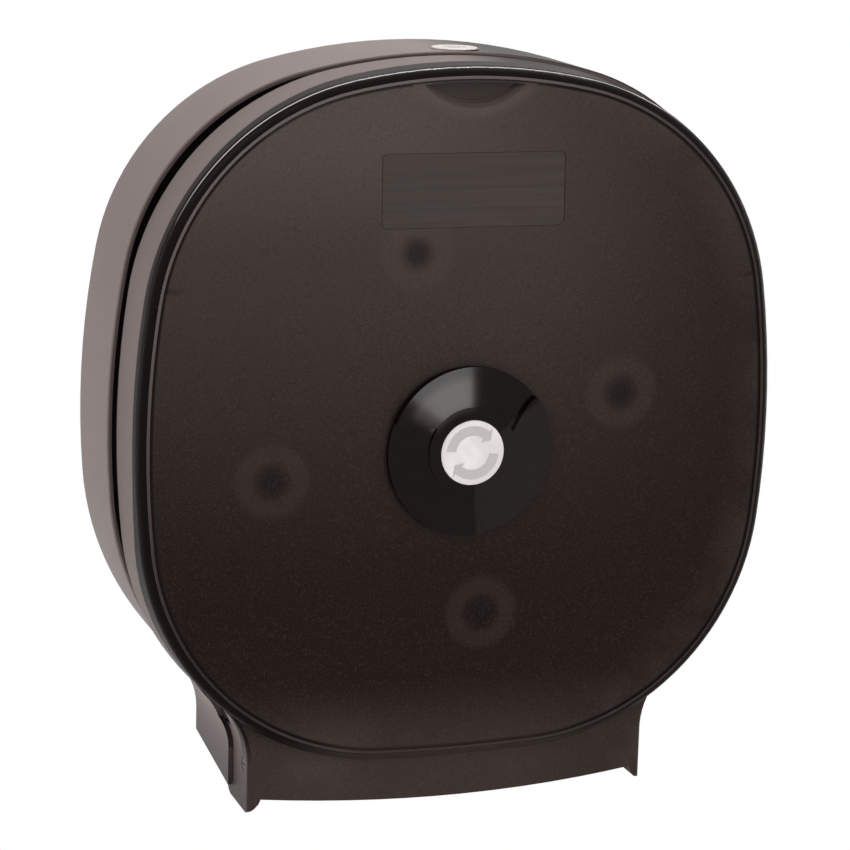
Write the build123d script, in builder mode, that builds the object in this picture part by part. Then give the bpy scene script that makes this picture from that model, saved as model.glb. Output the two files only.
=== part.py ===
from build123d import *
import os
from math import asin, atan2, cos, degrees, hypot, radians, sin, sqrt

# A wall dispenser that holds four rolls on a carousel behind a drop-down cover.
# X is to the right, Z is up and the wall is the plane y = 0. Depths are distances
# from the wall towards the room, so a depth of 110 is the plane y = -110.
# The carousel turns about the Y axis, which passes through the origin.
os.makedirs("parts", exist_ok=True)

# Housing, seen from the front
overall_width = 362.0
top_height = 202.5
bottom_drop = 177.0
widest_height = 5.0
side_radius = 470.0
top_radius = 320.0
upper_corner_radius = 126.0
lower_corner_radius = 160.0
bottom_radius = 930.0
wall = 2.5
back_wall = 3.0
housing_depth = 65.0
lip_round = 1.0

# Cover, seen from the front
cover_side_step = 4.0
cover_top_step = 1.5
cover_bottom_step = 4.6
cover_side_radius = 504.0
cover_top_radius = 310.0
cover_upper_corner_radius = 136.0
cover_lower_corner_radius = 138.0
parting_gap = 5.0
cover_draft = 2.4
rim_radius = 5.5
cover_side_depth = 40.0
bead_inset = 7.0
bead_width = 1.4
bead_height = 0.6
crown_height = 5.0
crown_insets = [0.3, 20.0, 60.0, 110.0]
crown_shares = [0.0, 0.3, 0.72, 1.0]

# Base: housing legs and cover skirt
skirt_half_width = 112.5
leg_side_step = 2.8
leg_front_gap = 0.5
leg_round = 13.5
leg_arch_rise = 12.0
base_reach = 20.5
leg_rear_step = 16.0
leg_front_step = 7.0
flare_radius = 39.0
flare_lift = 9.0
flare_rise = 27.0
skirt_corner_step = 11.0
skirt_centre_step = 4.0
apron_end_step = 8.2
apron_centre_step = 3.5
foot_width = 7.0
foot_flat = 1.0
foot_bulge = 1.3
foot_round = 5.0
tongue_reach = 32.5
tongue_rise = 11.0
tongue_round = 8.0
corner_round = 3.0

# Cover hinge
pivot_reach = 20.0
pivot_lift = 5.0
swing_clearance = 1.5
hinge_pin_radius = 2.5
ear_thickness = 3.0
ear_radius = 6.0
ear_root = 12.0
side_clearance = 0.6
pin_head_radius = 3.2
pin_head_height = 0.8
pin_head_gap = 0.3
pin_head_sink = 0.2
pin_slot_width = 1.0

# Face details
label_width = 99.0
label_height = 38.0
label_drop = 66.0
label_depth = 1.0
label_tilt = 2.2
label_crown_share = 0.72
label_corner = 3.0
label_plate_thickness = 0.5
label_clearance = 0.3
scoop_radius = 40.5
scoop_rise = 18.0
scoop_depth = 3.2
scoop_slope = 4.0
scoop_reach = 8.0
scoop_border = 2.5
locating_rib_heights = [88.0, -108.0]
locating_rib_width = 2.0
locating_rib_length = 7.0

# Wall mounting
screw_spacing_x = 250.0
screw_spacing_z = 200.0
screw_hole_radius = 3.0
screw_boss_radius = 9.0
screw_boss_height = 2.0

# Axle and hub
axle_radius = 6.0
running_clearance = 0.05
press_clearance = 0.02
seat_gap = 0.3
plate_radius = 32.0
plate_thickness = 3.0
plate_screw_circle = 50.0
small_screw_radius = 2.0
plate_screw_length = 5.6
column_screw_length = 9.0
ring_screw_circle = 90.0
ring_screw_length = 9.5
screw_head_radius = 3.8
screw_head_height = 2.0
shoulder_radius = 11.0
shoulder_height = 2.0
bush_wall = 3.0
bush_length = 26.0
washer_thickness = 1.0
clip_thickness = 1.2
clip_reach = 3.2
clip_groove = 1.0
axle_washer_radius = 10.5
axle_chamfer = 0.8
axle_end = 2.5

# Carousel
carousel_angle = 11.1
spindle_circle = 101.0
roll_count = 4
spider_thickness = 4.5
arm_step_back = 2.5
arm_root_round = 6.0
rib_start = 31.5
rib_end = 72.0
rib_width = 3.0
rib_height = 3.0
arm_width = 26.0
arm_end_radius = 21.0
spider_hub_wall = 5.0
spider_disc_radius = 52.0
index_ring_radius = 60.0
index_ring_bore = 36.0
index_ring_thickness = 4.5
ring_wall_gap = 2.0
column_radius = 17.0
column_wall = 2.8
column_flange_radius = 30.0
column_flange_thickness = 3.5
column_screw_circle = 48.0
column_face_gap = 19.0
socket_depth = 7.0
socket_flange_thickness = 6.0
socket_plug_length = 6.0
dog_length = 17.6
dog_thickness = 5.0
dog_clearance = 1.0
dog_engagement = 5.0

# Roll spindles
spindle_radius = 18.5
spindle_length = 66.0
spindle_wall = 2.2
spindle_web = 2.4
spindle_flange_radius = 26.0
spindle_flange_thickness = 2.0
spindle_hub_wall = 3.0
post_radius = 4.0
post_flange_radius = 8.0
post_flange_thickness = 1.5
post_head_radius = 6.0
post_head_height = 2.0
post_screw_radius = 1.6
post_screw_length = 12.0
cap_radius = 18.2
cap_thickness = 3.0
cap_round = 0.8
washer_radius = 12.0

# Detent
plunger_radius = 2.4
plunger_length = 14.0
spring_length = 9.7
spring_wire = 0.35
spring_coil_radius = 1.7
spring_turns = 7
notch_depth = 1.8
notch_radius = 4.0
nose_gap = 0.3
block_half_width = 9.0
block_floor = 3.0
block_skin = 1.2
block_top_gap = 1.2
block_screw_radius = 1.5
block_screw_head = 2.7
block_screw_head_height = 1.2
block_screw_length = 8.5
block_corner = 1.0
block_screw_x = 6.0

# Knob
knob_radius = 45.0
knob_gap = 0.7
knob_base = 1.6
wing_count = 3
wing_angle = 35.0
wing_sections = 6
wing_overlap_share = 0.25
step_shape = [(20.0, -16.0), (27.0, -6.0), (36.0, 2.0), (46.0, 3.0)]
rim_low = 0.8
rim_high = 4.2
hub_low = 3.6
hub_high = 5.6
knob_hub_radius = 24.0
knob_hub_height = 7.2
disc_radius = 17.4
disc_thickness = 2.0
disc_inset = 0.4
arrow_inner = 9.2
arrow_outer = 14.2
arrow_sweep = 142.0
arrow_head = 17.0
arrow_head_reach = 2.2
arrow_height = 0.25
arrow_angles = [104.0, 284.0]
disc_clearance = 0.15
disc_round = 0.4
shaft_radius = 7.0
knob_bush_wall = 3.0
knob_bush_length = 10.0
knob_bush_flange = 14.0
knob_bush_flange_thickness = 2.0
dog_hub_radius = 10.0
dog_centre_radius = 5.2
knob_screw_radius = 2.0
knob_screw_head = 3.6
knob_screw_head_height = 2.0
knob_screw_grip = 11.0
knob_clip_reach = 2.6
knob_clip_space = 3.4
shaft_flat = 5.8

# Lock
lock_x = 9.0
lock_lip_gap = 15.0
bezel_radius = 12.2
bezel_thickness = 0.5
bezel_round = 0.3
lock_body_radius = 9.0
lock_body_length = 16.0
lock_rotor_radius = 6.0
lock_pad_radius = 13.2
lock_pad_thickness = 5.5
lock_pad_rise = 0.2
lock_nut_radius = 12.0
lock_nut_thickness = 3.5
key_slot_length = 7.0
key_slot_width = 1.6
key_slot_depth = 6.0
cam_thickness = 2.5
cam_reach = 12.0
cam_hook = 2.0
cam_hook_length = 6.0
cam_width = 6.0
cam_screw_radius = 1.5
cam_screw_head = 3.2
cam_screw_head_height = 1.8
cam_screw_grip = 6.0
cam_screw_length = 6.5
striker_width = 9.0
striker_thickness = 2.0
striker_lip = 7.0
striker_gap = 2.5
hook_gap = 1.5
striker_leg_reach = 6.0
striker_leg_height = 22.0
striker_boss_width = 18.0
striker_boss_thickness = 10.0
striker_screw_spacing = 10.0
striker_screw_radius = 1.5
striker_screw_head = 2.8
striker_screw_head_height = 1.5
striker_screw_length = 7.0

# Places that follow from the sizes above
half_width = overall_width / 2
cover_half_width = half_width - cover_side_step
cover_top = top_height - cover_top_step
cover_bottom = bottom_drop - cover_bottom_step
cover_rear = housing_depth + parting_gap
bead_depth = cover_rear + cover_side_depth
face_depth = bead_depth + crown_height
label_face = bead_depth + label_crown_share * crown_height
scoop_centre = cover_top + scoop_rise
label_centre = top_height - label_drop

leg_half_width = skirt_half_width + leg_side_step
base_bottom = bottom_drop + base_reach
leg_rear_bottom = base_bottom - leg_rear_step
leg_front_bottom = base_bottom - leg_front_step
flare_height = bottom_drop - flare_lift
skirt_corner_depth = bead_depth - skirt_corner_step
skirt_centre_depth = bead_depth - skirt_centre_step
apron_end_drop = base_bottom - apron_end_step
apron_centre_drop = base_bottom - apron_centre_step
pivot_depth = cover_rear + pivot_reach
pivot_drop = bottom_drop - pivot_lift
pivot = (-pivot_depth, -pivot_drop)
tongue_rear = pivot_depth - tongue_reach
tongue_top = flare_height - tongue_rise
tongue_centre = (tongue_reach - tongue_round, base_bottom - pivot_drop - tongue_round)
leg_swing_radius = hypot(*tongue_centre) + tongue_round + swing_clearance
leg_front = cover_rear - leg_front_gap
leg_arch = flare_height - leg_arch_rise
leg_arch_front = leg_front - leg_round
flare_x = skirt_half_width + flare_radius
arm_step = 360 / roll_count
spindle_angles = [90 + carousel_angle + arm_step * index for index in range(roll_count)]

plate_front = back_wall + plate_thickness
shoulder_front = plate_front + shoulder_height
bush_rear = shoulder_front + seat_gap
bush_front = bush_rear + bush_length
bush_radius = axle_radius + running_clearance + bush_wall
washer_rear = bush_front + seat_gap
clip_rear = washer_rear + washer_thickness
axle_front = clip_rear + clip_thickness + axle_end
ring_rear = back_wall + ring_wall_gap
ring_front = ring_rear + index_ring_thickness
spider_rear = ring_front
arm_rear = spider_rear + arm_step_back
spider_front = arm_rear + spider_thickness
spider_hub_radius = bush_radius + press_clearance + spider_hub_wall
column_bore = column_radius - column_wall
column_rear = spider_front
column_front_depth = face_depth - column_face_gap
column_tube_front = column_front_depth - socket_flange_thickness

washer_front = spider_front + washer_thickness
spindle_rear = washer_front + seat_gap
spindle_front = spindle_rear + spindle_length
cap_front = spindle_front + cap_thickness
post_front = cap_front + seat_gap

face_inner = face_depth - wall
knob_rear = face_depth + knob_gap
knob_plate_front = knob_rear + knob_base
knob_front = knob_rear + knob_hub_height
disc_front = knob_front - disc_inset
disc_rear = disc_front - disc_thickness
knob_bush_radius = shaft_radius + running_clearance + knob_bush_wall
knob_bush_seat = face_inner
knob_bush_rear = knob_bush_seat - knob_bush_length
dog_tip = column_front_depth - dog_engagement
dog_hub_rear = column_front_depth + dog_clearance
dog_hub_front = knob_bush_rear - seat_gap
shaft_rear = dog_hub_rear + wall
shaft_front = disc_rear - seat_gap
knob_clip_rear = shaft_front - clip_thickness - 2 * seat_gap

ear_outer = skirt_half_width - wall - side_clearance
ear_inner = ear_outer - ear_thickness
pin_head_outer = skirt_half_width - pin_head_sink

lock_depth = housing_depth - lock_lip_gap
lock_top = top_height + lock_pad_rise
bezel_top = lock_top + bezel_thickness
lock_bottom = bezel_top - lock_body_length
rotor_bottom = lock_bottom - seat_gap
cam_bottom = rotor_bottom - cam_thickness
striker_leg_depth = cover_rear + striker_leg_reach
striker_top = cam_bottom - striker_gap
striker_floor = striker_top - striker_lip
striker_lip_front = lock_depth + cam_reach - cam_hook - hook_gap
striker_foot = striker_floor - striker_thickness
striker_screw_middle = striker_foot + striker_leg_height / 2

ring_middle = (ring_rear + ring_front) / 2
notch_centre = index_ring_radius - notch_depth + notch_radius
nose_centre = -index_ring_radius - nose_gap - plunger_radius
block_front = ring_middle + plunger_radius + running_clearance + block_skin
block_top = -index_ring_radius - block_top_gap
plunger_bottom = nose_centre + plunger_radius - plunger_length
block_bore_bottom = plunger_bottom - spring_length
block_bottom = block_bore_bottom - block_floor
block_screw_z = (block_top + block_bottom) / 2


def at_depth(depth):
    """The plane that faces the room at this depth from the wall."""
    return Plane.XZ.offset(depth)


def inner_centre(first, first_radius, second, second_radius, radius):
    """Centre of the circle inside two larger circles that it touches, on the right-hand side."""
    first_gap = first_radius - radius
    second_gap = second_radius - radius
    across = (second[0] - first[0], second[1] - first[1])
    span = hypot(*across)
    along = (first_gap**2 - second_gap**2 + span**2) / (2 * span)
    aside = sqrt(first_gap**2 - along**2)
    places = []
    for side in (1, -1):
        x = first[0] + (across[0] * along - side * across[1] * aside) / span
        z = first[1] + (across[1] * along + side * across[0] * aside) / span
        places.append((x, z))
    return max(places)


def bearing(start, end):
    """Direction from one point to another in degrees."""
    return degrees(atan2(end[1] - start[1], end[0] - start[0]))


def shield_face(outline, grow=0):
    """The rounded outline as a face, moved outwards by grow."""
    half, top, bottom, side, crown, upper, lower = outline
    side_centre = (half - side, widest_height)
    top_centre = (0, top - crown)
    bottom_centre = (0, bottom_radius - bottom)
    upper_centre = inner_centre(side_centre, side, top_centre, crown, upper)
    lower_centre = inner_centre(side_centre, side, bottom_centre, bottom_radius, lower)
    turns = [
        -90,
        bearing(bottom_centre, lower_centre),
        bearing(side_centre, lower_centre),
        bearing(side_centre, upper_centre),
        bearing(top_centre, upper_centre),
        90,
    ]
    arcs = [
        (bottom_centre, bottom_radius),
        (lower_centre, lower),
        (side_centre, side),
        (upper_centre, upper),
        (top_centre, crown),
    ]
    with BuildSketch() as face:
        with BuildLine():
            for (centre, radius), start, end in zip(arcs, turns, turns[1:]):
                CenterArc(centre, radius + grow, start, end - start)
            mirror(about=Plane.YZ)
        make_face()
    return face.sketch


housing_outline = (
    half_width,
    top_height,
    bottom_drop,
    side_radius,
    top_radius,
    upper_corner_radius,
    lower_corner_radius,
)
cover_outline = (
    cover_half_width,
    cover_top,
    cover_bottom,
    cover_side_radius,
    cover_top_radius,
    cover_upper_corner_radius,
    cover_lower_corner_radius,
)


def base_face(half, bottom, inset=0):
    """The front view of the base, with sides that flare out into the round body."""
    turn = degrees(asin(flare_rise / flare_radius))
    with BuildSketch() as face:
        with BuildLine():
            side_arc = CenterArc((flare_x, -flare_height), flare_x - half + inset, 180, -turn)
            Line(side_arc @ 0, (half - inset, -bottom))
            Line((half - inset, -bottom), (0, -bottom))
            Line(side_arc @ 1, (0, (side_arc @ 1).Y))
            mirror(about=Plane.YZ)
        make_face()
    return face.sketch


def cover_block(inset):
    """The closed round body of the cover, set in by inset from its outer face."""
    with BuildPart() as block:
        with BuildSketch(at_depth(cover_rear)):
            add(shield_face(cover_outline, -inset))
        extrude(amount=bead_depth - inset - cover_rear, taper=cover_draft)
        fillet(block.faces().sort_by(Axis.Y)[0].edges(), rim_radius - inset)
        # The face is crowned by a loft through rings that shrink towards its middle
        for ring_inset, share in zip(crown_insets, crown_shares):
            with BuildSketch(at_depth(bead_depth - inset + crown_height * share)):
                add(shield_face(cover_outline, -bead_inset - ring_inset))
        loft()
    return block.part


def apron_depth(x):
    """Depth of the outside of the apron, which bulges towards the room."""
    bulge = skirt_centre_depth - skirt_corner_depth
    return skirt_centre_depth - bulge * (x / skirt_half_width) ** 2


def skirt_block(inset):
    """The closed base of the cover below the round body, set in by inset."""
    corner_y = inset - apron_depth(flare_x)
    with BuildPart() as block:
        with BuildSketch(at_depth(tongue_rear)):
            add(base_face(skirt_half_width, base_bottom + inset, inset))
        extrude(amount=face_depth)
        with BuildSketch():
            with BuildLine():
                ThreePointArc((-flare_x, corner_y), (0, inset - skirt_centre_depth), (flare_x, corner_y))
                Polyline((flare_x, corner_y), (flare_x, 0), (-flare_x, 0), (-flare_x, corner_y))
            make_face()
        extrude(amount=2 * base_bottom, both=True, mode=Mode.INTERSECT)
        fillet(block.edges().filter_by(Axis.Z).sort_by(Axis.Y)[:2], corner_round - inset)
    return block.part


def skirt_side():
    """The side view of the skirt, whose rounded tongue reaches back between the legs."""
    with BuildSketch(Plane.YZ) as side:
        with BuildLine():
            Polyline(
                (-tongue_rear - tongue_round, -base_bottom),
                (-face_depth, -base_bottom),
                (-face_depth, flare_rise - flare_height),
                (-cover_rear, flare_rise - flare_height),
                (-cover_rear, -tongue_top),
                (-tongue_rear, -tongue_top),
                (-tongue_rear, tongue_round - base_bottom),
            )
            RadiusArc(
                (-tongue_rear, tongue_round - base_bottom),
                (-tongue_rear - tongue_round, -base_bottom),
                tongue_round,
            )
        make_face()
    return side.sketch


# Rear housing: back wall, side wall, legs and hinge ears in one moulding
with BuildPart() as legs:
    with BuildSketch(at_depth(0)):
        add(base_face(leg_half_width, leg_front_bottom))
    extrude(amount=cover_rear)
    # The legs' bottom edge slopes down towards the room, and their front is rounded below the body
    with BuildSketch(Plane.YZ):
        with BuildLine():
            Polyline(
                (-leg_arch_front, -leg_arch),
                (-leg_arch_front, 0),
                (0, 0),
                (0, -leg_rear_bottom),
                (-leg_front, -leg_front_bottom),
                (-leg_front, -leg_arch - leg_round),
            )
            RadiusArc((-leg_front, -leg_arch - leg_round), (-leg_arch_front, -leg_arch), leg_round)
        make_face()
    extrude(amount=half_width, both=True, mode=Mode.INTERSECT)

with BuildPart() as rear_housing:
    with BuildSketch(at_depth(0)):
        add(shield_face(housing_outline))
    extrude(amount=housing_depth)
    fillet(rear_housing.faces().sort_by(Axis.Y)[0].edges(), lip_round)
    add(legs.part)
    with BuildSketch(at_depth(back_wall)):
        add(shield_face(housing_outline, -wall))
    extrude(amount=cover_rear, mode=Mode.SUBTRACT)
    with BuildSketch(at_depth(back_wall)):
        add(base_face(leg_half_width, leg_front_bottom + wall, wall))
    extrude(amount=cover_rear, mode=Mode.SUBTRACT)
    # Ears that carry the hinge pins reach forward inside the skirt
    for side in (1, -1):
        with BuildSketch(Plane.YZ.offset(side * ear_outer)):
            with Locations(pivot):
                Circle(ear_radius)
            ear_back = leg_swing_radius + ear_root
            with Locations((ear_back / 2 - pivot_depth, -pivot_drop)):
                Rectangle(ear_back, 2 * ear_radius)
        extrude(amount=-side * ear_thickness)
        with BuildSketch(Plane.YZ.offset(side * ear_outer)):
            with Locations((leg_swing_radius + ear_root / 2 - pivot_depth, -pivot_drop)):
                Rectangle(ear_root - 2 * seat_gap, 2 * ear_radius)
        extrude(amount=side * (leg_half_width - wall / 2 - ear_outer))
    with BuildSketch(Plane.YZ):
        with Locations(pivot):
            Circle(hinge_pin_radius + press_clearance)
    extrude(amount=half_width, both=True, mode=Mode.SUBTRACT)
    # A flat pad under the top wall carries the lock
    with BuildSketch(Plane.XY.offset(lock_top)):
        with Locations((lock_x, -lock_depth)):
            Circle(lock_pad_radius)
    extrude(amount=-lock_pad_thickness)
    with BuildSketch(Plane.XY.offset(lock_top)):
        with Locations((lock_x, -lock_depth)):
            Circle(lock_body_radius + press_clearance)
    extrude(amount=-lock_body_length, mode=Mode.SUBTRACT)
    # Bosses for the wall screws, and holes for them, the axle plate and the detent block
    with BuildSketch(at_depth(back_wall)):
        with GridLocations(screw_spacing_x, screw_spacing_z, 2, 2):
            Circle(screw_boss_radius)
    extrude(amount=screw_boss_height)
    with BuildSketch(at_depth(0)):
        with GridLocations(screw_spacing_x, screw_spacing_z, 2, 2):
            Circle(screw_hole_radius)
        with PolarLocations(plate_screw_circle / 2, 4, 45):
            Circle(small_screw_radius + press_clearance)
        with Locations((block_screw_x, block_screw_z), (-block_screw_x, block_screw_z)):
            Circle(block_screw_radius + press_clearance)
    extrude(amount=2 * back_wall, mode=Mode.SUBTRACT)
rear_housing.part.label = "rear_housing"
export_step(rear_housing.part, "parts/rear_housing.step")

# Front cover: crowned face, rim, side wall and skirt in one moulding
cover_outer = cover_block(0)
cover_inner = cover_block(wall)
skirt_outer = skirt_block(0)
skirt_inner = skirt_block(wall)
skirt_outline = skirt_side()

with BuildPart() as skirt:
    add(skirt_outer)
    extrude(skirt_outline, amount=half_width, both=True, mode=Mode.INTERSECT)

with BuildPart() as scoop:
    scoop_place = at_depth(bead_depth - scoop_depth + scoop_reach / 2).location * Pos(0, scoop_centre, 0)
    with Locations(scoop_place):
        Cone(scoop_radius - scoop_slope, scoop_radius + scoop_slope, scoop_reach)
    with BuildSketch(at_depth(cover_rear)):
        add(shield_face(cover_outline, -bead_inset - scoop_border))
    extrude(amount=crown_height + bead_depth, mode=Mode.INTERSECT)

label_plane = Plane(
    origin=(0, label_depth - label_face, label_centre),
    x_dir=(1, 0, 0),
    z_dir=(0, -cos(radians(label_tilt)), sin(radians(label_tilt))),
)

with BuildPart() as front_cover:
    add(cover_outer)
    add(skirt.part)
    # The bead runs round the crowned face
    with BuildSketch(at_depth(bead_depth - bead_height)):
        add(shield_face(cover_outline, bead_width / 2 - bead_inset))
        add(shield_face(cover_outline, -bead_width / 2 - bead_inset), mode=Mode.SUBTRACT)
    extrude(amount=2 * bead_height)
    add(cover_inner, mode=Mode.SUBTRACT)
    add(skirt_inner, mode=Mode.SUBTRACT)
    # The apron's bottom edge bows down between the two feet
    apron_x = skirt_half_width - foot_width
    foot_x = skirt_half_width - foot_flat
    with BuildSketch(at_depth(0)):
        with BuildLine():
            ThreePointArc((-apron_x, -apron_end_drop), (0, -apron_centre_drop), (apron_x, -apron_end_drop))
            for side in (1, -1):
                ThreePointArc(
                    (side * apron_x, -apron_end_drop),
                    (side * (apron_x + foot_x) / 2, -(apron_end_drop + base_bottom) / 2 - foot_bulge),
                    (side * foot_x, -base_bottom),
                )
            Polyline(
                (foot_x, -base_bottom),
                (foot_x, -2 * base_bottom),
                (-foot_x, -2 * base_bottom),
                (-foot_x, -base_bottom),
            )
        make_face()
    extrude(amount=2 * face_depth, mode=Mode.SUBTRACT)
    # A pad behind the face gives the finger scoop its floor
    with BuildSketch(at_depth(bead_depth - scoop_depth - wall)):
        with Locations((0, scoop_centre)):
            Circle(scoop_radius + wall)
        add(shield_face(cover_outline, -bead_inset), mode=Mode.INTERSECT)
    extrude(amount=scoop_depth)
    add(scoop.part, mode=Mode.SUBTRACT)
    with BuildSketch(label_plane):
        RectangleRounded(label_width + 2 * label_clearance, label_height + 2 * label_clearance, label_corner)
    extrude(amount=crown_height, mode=Mode.SUBTRACT)
    # Ribs inside the side wall
    with BuildSketch(at_depth(cover_rear + wall)):
        with Locations([(0, height) for height in locating_rib_heights]):
            Rectangle(overall_width, locating_rib_width)
        add(shield_face(cover_outline, -wall + press_clearance), mode=Mode.INTERSECT)
        add(shield_face(cover_outline, -wall - locating_rib_length), mode=Mode.SUBTRACT)
    extrude(amount=bead_depth - cover_rear - 3 * wall)
    # Boss for the latch striker
    with BuildSketch(Plane.XY.offset(cover_top - wall / 2)):
        with Locations((lock_x, -striker_leg_depth - striker_boss_thickness / 2)):
            Rectangle(striker_boss_width, striker_boss_thickness)
    extrude(amount=striker_foot - cover_top + wall / 2)
    with BuildSketch(at_depth(striker_leg_depth)):
        with Locations((lock_x, striker_screw_middle)):
            with GridLocations(1, striker_screw_spacing, 1, 2):
                Circle(striker_screw_radius + press_clearance)
    extrude(amount=striker_screw_length, mode=Mode.SUBTRACT)
    # Rounded toes of the two feet
    for side in (1, -1):
        with BuildSketch(Plane.YZ.offset(side * apron_x)):
            with Locations((-skirt_corner_depth, -base_bottom)):
                Rectangle(2 * foot_round, 2 * foot_round)
            with Locations((foot_round - skirt_corner_depth, foot_round - base_bottom)):
                Circle(foot_round, mode=Mode.SUBTRACT)
        extrude(amount=side * 2 * foot_width, mode=Mode.SUBTRACT)
    # Hole for the knob bushing, and holes for the hinge pins with their heads sunk
    with BuildSketch(at_depth(cover_rear)):
        Circle(knob_bush_radius + press_clearance)
    extrude(amount=2 * crown_height + bead_depth - cover_rear, mode=Mode.SUBTRACT)
    with BuildSketch(Plane.YZ):
        with Locations(pivot):
            Circle(hinge_pin_radius + running_clearance)
    extrude(amount=half_width, both=True, mode=Mode.SUBTRACT)
    for side in (1, -1):
        with BuildSketch(Plane.YZ.offset(side * (pin_head_outer - pin_head_height - pin_head_gap))):
            with Locations(pivot):
                Circle(pin_head_radius + pin_head_gap)
        extrude(amount=side * wall, mode=Mode.SUBTRACT)
front_cover.part.label = "front_cover"
export_step(front_cover.part, "parts/front_cover.step")

with BuildPart() as label_plate:
    with BuildSketch(label_plane):
        RectangleRounded(label_width, label_height, label_corner - label_clearance)
    extrude(amount=label_plate_thickness)
label_plate.part.label = "label_plate"
export_step(label_plate.part, "parts/label_plate.step")


def hex_socket_screw(head_radius, head_height, shank_radius, length):
    """A screw along Z whose head stands on the origin, with a hexagonal socket."""
    with BuildPart() as shape:
        Cylinder(shank_radius, length, align=(Align.CENTER, Align.CENTER, Align.MAX))
        Cylinder(head_radius, head_height, align=(Align.CENTER, Align.CENTER, Align.MIN))
        with BuildSketch(Plane.XY.offset(head_height)):
            RegularPolygon(0.5 * head_radius, 6)
        extrude(amount=-0.6 * head_height, mode=Mode.SUBTRACT)
    return shape.part


def retaining_clip(inner, outer, thickness):
    """An open ring that snaps into a groove, lying on the XY plane."""
    with BuildPart() as shape:
        Cylinder(outer, thickness, align=(Align.CENTER, Align.CENTER, Align.MIN))
        Cylinder(inner, thickness, align=(Align.CENTER, Align.CENTER, Align.MIN), mode=Mode.SUBTRACT)
        with BuildSketch():
            with Locations((0, -outer)):
                Rectangle(1.2 * inner, 2 * outer)
        extrude(amount=thickness, mode=Mode.SUBTRACT)
    return shape.part


def keyed_bore(grow):
    """The round section with two flats that turns with the knob shaft."""
    with BuildSketch() as face:
        Circle(shaft_radius + grow)
        Rectangle(2 * (shaft_flat + grow), 3 * shaft_radius, mode=Mode.INTERSECT)
    return face.sketch


def cross_face(grow):
    """The cross of the drive dog as a face, moved outwards by grow."""
    with BuildSketch() as face:
        Rectangle(dog_length + 2 * grow, dog_thickness + 2 * grow)
        Rectangle(dog_thickness + 2 * grow, dog_length + 2 * grow)
        Circle(dog_centre_radius + grow)
    return face.sketch


def polar(radius, angle):
    """The point at this radius and angle from the knob axis, seen from the front."""
    return (radius * cos(radians(angle)), radius * sin(radians(angle)))


# Axle: a plate on the back wall with a shouldered pin
with BuildPart() as axle_plate:
    with BuildSketch(at_depth(back_wall)):
        Circle(plate_radius)
        Circle(axle_radius + press_clearance, mode=Mode.SUBTRACT)
        with PolarLocations(plate_screw_circle / 2, 4, 45):
            Circle(small_screw_radius + press_clearance, mode=Mode.SUBTRACT)
    extrude(amount=plate_thickness)
axle_plate.part.label = "axle_plate"
export_step(axle_plate.part, "parts/axle_plate.step")

with BuildPart() as carousel_axle:
    with BuildSketch(at_depth(back_wall)):
        Circle(axle_radius)
    extrude(amount=axle_front - back_wall)
    chamfer(carousel_axle.faces().sort_by(Axis.Y)[0].edges(), axle_chamfer)
    with BuildSketch(at_depth(plate_front)):
        Circle(shoulder_radius)
    extrude(amount=shoulder_height)
    with BuildSketch(at_depth(clip_rear)):
        Circle(axle_radius)
        Circle(axle_radius - clip_groove, mode=Mode.SUBTRACT)
    extrude(amount=clip_thickness, mode=Mode.SUBTRACT)
carousel_axle.part.label = "carousel_axle"
export_step(carousel_axle.part, "parts/carousel_axle.step")

small_screw = hex_socket_screw(screw_head_radius, screw_head_height, small_screw_radius, plate_screw_length)
with BuildPart() as axle_plate_screws:
    with Locations(at_depth(plate_front)):
        with PolarLocations(plate_screw_circle / 2, 4, 45):
            add(small_screw)
axle_plate_screws.part.label = "axle_plate_screws"
export_step(axle_plate_screws.part, "parts/axle_plate_screws.step")

with BuildPart() as axle_washer:
    with BuildSketch(at_depth(washer_rear)):
        Circle(axle_washer_radius)
        Circle(axle_radius + running_clearance, mode=Mode.SUBTRACT)
    extrude(amount=washer_thickness)
axle_washer.part.label = "axle_washer"
export_step(axle_washer.part, "parts/axle_washer.step")

axle_ring = retaining_clip(axle_radius - clip_groove + press_clearance, axle_radius + clip_reach, clip_thickness)
with BuildPart() as axle_clip:
    with Locations(at_depth(clip_rear)):
        add(axle_ring)
axle_clip.part.label = "axle_clip"
export_step(axle_clip.part, "parts/axle_clip.step")

# Detent: a sprung plunger in a block below the index ring, drawn pressed back as it is
# between two notches. In a notch it stands further out by the depth of the notch.
with BuildPart() as detent_block:
    with BuildSketch(at_depth(back_wall)):
        with Locations((0, (block_top + block_bottom) / 2)):
            RectangleRounded(2 * block_half_width, block_top - block_bottom, block_corner)
    extrude(amount=block_front - back_wall)
    with BuildSketch(Plane.XY.offset(block_top)):
        with Locations((0, -ring_middle)):
            Circle(plunger_radius + running_clearance)
    extrude(amount=block_bore_bottom - block_top, mode=Mode.SUBTRACT)
    with Locations(at_depth(block_front)):
        with Locations((block_screw_x, block_screw_z), (-block_screw_x, block_screw_z)):
            CounterBoreHole(
                block_screw_radius + press_clearance,
                block_screw_head + press_clearance,
                block_screw_head_height + seat_gap,
            )
detent_block.part.label = "detent_block"
export_step(detent_block.part, "parts/detent_block.step")

block_screw = hex_socket_screw(block_screw_head, block_screw_head_height, block_screw_radius, block_screw_length)
with BuildPart() as detent_block_screws:
    with Locations(at_depth(block_front - block_screw_head_height - seat_gap)):
        with Locations((block_screw_x, block_screw_z), (-block_screw_x, block_screw_z)):
            add(block_screw)
detent_block_screws.part.label = "detent_block_screws"
export_step(detent_block_screws.part, "parts/detent_block_screws.step")

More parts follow.
